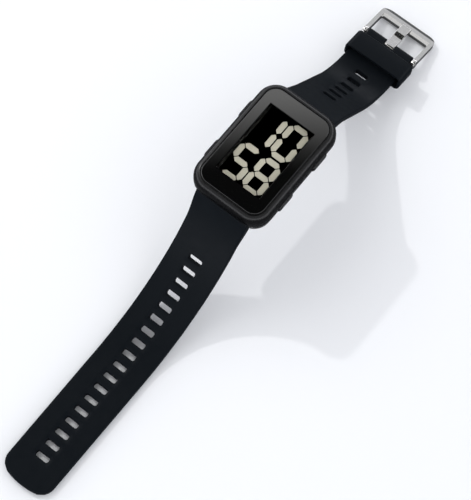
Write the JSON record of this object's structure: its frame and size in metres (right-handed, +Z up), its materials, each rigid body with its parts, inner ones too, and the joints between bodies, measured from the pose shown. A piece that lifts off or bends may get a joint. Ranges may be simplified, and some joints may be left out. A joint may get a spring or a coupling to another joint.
{
  "type": "digital wristwatch",
  "caption": "Rectangular digital watch on a slotted rubber strap with a steel buckle, standing open as an arch.",
  "frame": {"origin": "centre of the bounding box's underside, on the table the watch stands on", "axes": "+X towards three o'clock, +Y towards twelve o'clock and the buckle, +Z up out of the dial"},
  "size_m": [0.0314, 0.2138, 0.0426],
  "materials": {
    "case_black": "satin black moulded resin",
    "crystal": "clear, flat, hard coated",
    "mask_black": "black printed film",
    "seal_rubber": "soft black seal",
    "lcd_glass": "thin display glass",
    "polarizer": "dark film",
    "segments": "pale, reflective",
    "light_guide": "clear moulding",
    "tray_plastic": "moulded, matt",
    "board_green": "solder-masked board",
    "epoxy": "black resin drop",
    "cell_steel": "nickelled steel",
    "contact_brass": "plated spring metal",
    "back_resin": "black moulded resin",
    "screw_steel": "small steel screw",
    "strap_rubber": "matt black resin rubber",
    "buckle_steel": "satin with polished bevels"
  },
  "bodies": {
    "case": {"backlight_led": "light_guide", "battery": "cell_steel", "battery_clip": "cell_steel", "battery_contact": "contact_brass", "button_leaf_left_lower": "contact_brass", "button_leaf_left_upper": "contact_brass", "button_leaf_right_lower": "contact_brass", "button_leaf_right_upper": "contact_brass", "button_seal_left_lower": "seal_rubber", "button_seal_left_upper": "seal_rubber", "button_seal_right_lower": "seal_rubber", "button_seal_right_upper": "seal_rubber", "case_back": "back_resin", "case_back_gasket": "seal_rubber", "case_back_screw_1": "screw_steel", "case_back_screw_2": "screw_steel", "case_back_screw_3": "screw_steel", "case_back_screw_4": "screw_steel", "case_body": "case_black", "chip_cover": "epoxy", "circuit_board": "board_green", "contact_strip_left": "seal_rubber", "contact_strip_right": "seal_rubber", "crystal": "crystal", "crystal_gasket": "seal_rubber", "dial_mask": "mask_black", "digit_segments": "segments", "lcd_front_glass": "lcd_glass", "lcd_front_polarizer": "polarizer", "lcd_rear_glass": "lcd_glass", "lcd_rear_polarizer": "polarizer", "lcd_seal": "seal_rubber", "light_guide": "light_guide", "module_frame": "tray_plastic", "quartz_can": "cell_steel", "sounder_disc": "contact_brass", "sounder_spring": "contact_brass", "spring_bar_tips_long": "screw_steel", "spring_bar_tips_short": "screw_steel", "spring_bar_tube_long": "screw_steel", "spring_bar_tube_short": "screw_steel"},
    "strap_long": {"strap_long": "strap_rubber"},
    "strap_short": {"strap_short": "strap_rubber", "buckle_bar_tube": "screw_steel", "buckle_bar_tips": "screw_steel"},
    "keeper": {"keeper": "strap_rubber"},
    "buckle_frame": {"buckle_frame": "buckle_steel"},
    "buckle_tongue": {"buckle_tongue": "buckle_steel"},
    "button_right_upper": {"button_right_upper": "case_black", "button_clip_right_upper": "cell_steel"},
    "button_right_lower": {"button_right_lower": "case_black", "button_clip_right_lower": "cell_steel"},
    "button_left_upper": {"button_left_upper": "case_black", "button_clip_left_upper": "cell_steel"},
    "button_left_lower": {"button_left_lower": "case_black", "button_clip_left_lower": "cell_steel"}
  },
  "joints": [
    {"name": "strap_long_hinge", "type": "hinge", "parent": "case", "child": "strap_long", "pos_m": [0, -0.00009, 0.03598], "axis": [1, 0, 0], "range_deg": [0, 24]},
    {"name": "strap_short_hinge", "type": "hinge", "parent": "case", "child": "strap_short", "pos_m": [0, 0.04269, 0.03598], "axis": [1, 0, 0], "range_deg": [-44, 0]},
    {"name": "keeper_slide", "type": "slide", "parent": "strap_short", "child": "keeper", "axis": [0, 0.9848, -0.1736], "range_m": [-0.002, 0.002]},
    {"name": "buckle_frame_hinge", "type": "hinge", "parent": "strap_short", "child": "buckle_frame", "pos_m": [0, 0.09319, 0.0043], "axis": [1, 0, 0], "range_deg": [-45, 40]},
    {"name": "buckle_tongue_hinge", "type": "hinge", "parent": "buckle_frame", "child": "buckle_tongue", "pos_m": [0, 0.09319, 0.0043], "axis": [1, 0, 0], "range_deg": [0, 55]},
    {"name": "button_right_upper_press", "type": "slide", "parent": "case", "child": "button_right_upper", "axis": [-1, 0, 0], "range_m": [0, 0.0004], "stiffness_N_per_m": 600, "deforming": ["button_leaf_right_upper"]},
    {"name": "button_right_lower_press", "type": "slide", "parent": "case", "child": "button_right_lower", "axis": [-1, 0, 0], "range_m": [0, 0.0004], "stiffness_N_per_m": 600, "deforming": ["button_leaf_right_lower"]},
    {"name": "button_left_upper_press", "type": "slide", "parent": "case", "child": "button_left_upper", "axis": [1, 0, 0], "range_m": [0, 0.0004], "stiffness_N_per_m": 600, "deforming": ["button_leaf_left_upper"]},
    {"name": "button_left_lower_press", "type": "slide", "parent": "case", "child": "button_left_lower", "axis": [1, 0, 0], "range_m": [0, 0.0004], "stiffness_N_per_m": 600, "deforming": ["button_leaf_left_lower"]}
  ]
}
